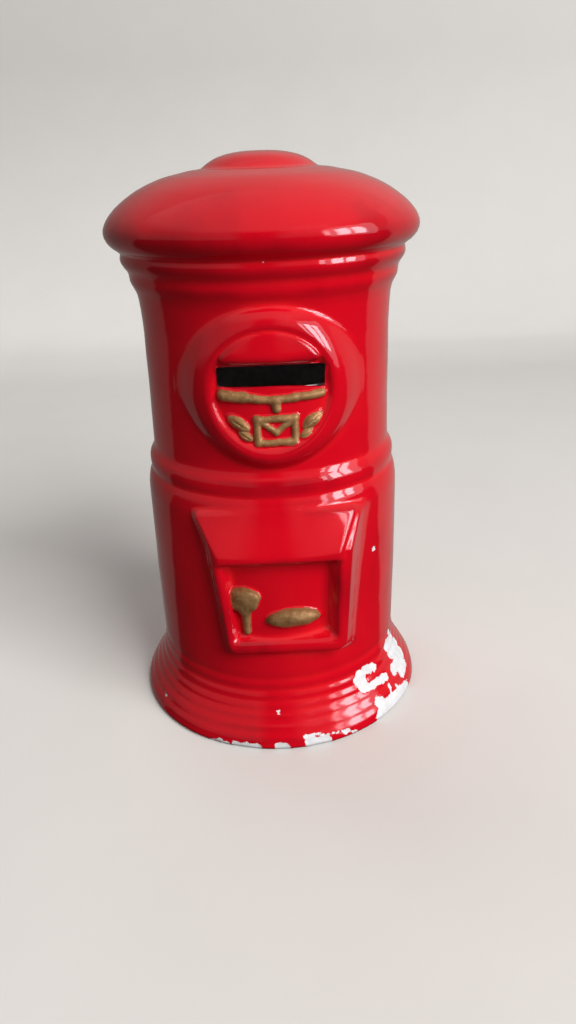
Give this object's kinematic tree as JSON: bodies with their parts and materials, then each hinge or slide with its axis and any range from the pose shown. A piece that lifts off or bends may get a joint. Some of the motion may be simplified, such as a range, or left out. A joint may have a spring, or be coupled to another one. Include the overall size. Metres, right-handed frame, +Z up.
{
  "type": "money box",
  "caption": "Ceramic money box shaped like a round pillar post box, with a coin slot in a roundel, a relief door with gilded trim and a pull-out stopper in its base.",
  "frame": {"origin": "centre of the foot ring's resting plane", "axes": "+Z up along the axis of the drum; the slot and the door face -Y; +X is to the right as seen from the front"},
  "size_m": [0.1224, 0.1224, 0.22],
  "materials": {
    "red_glaze": "thick glossy red glaze over a white body, chipped to the white at the foot",
    "gilt": "brushed-on antique gold, satin",
    "stopper_vinyl": "soft moulded vinyl, satin"
  },
  "bodies": {
    "body": {"ceramic_body": "red_glaze", "slot_bar": "gilt", "envelope_relief": "gilt", "leaf_sprigs": "gilt", "key_plate": "gilt", "door_handle": "gilt"},
    "stopper": {"stopper": "stopper_vinyl"}
  },
  "joints": [
    {"name": "stopper_pull", "type": "slide", "parent": "body", "child": "stopper", "axis": [0, 0, -1], "range_m": [0, 0.04]}
  ]
}
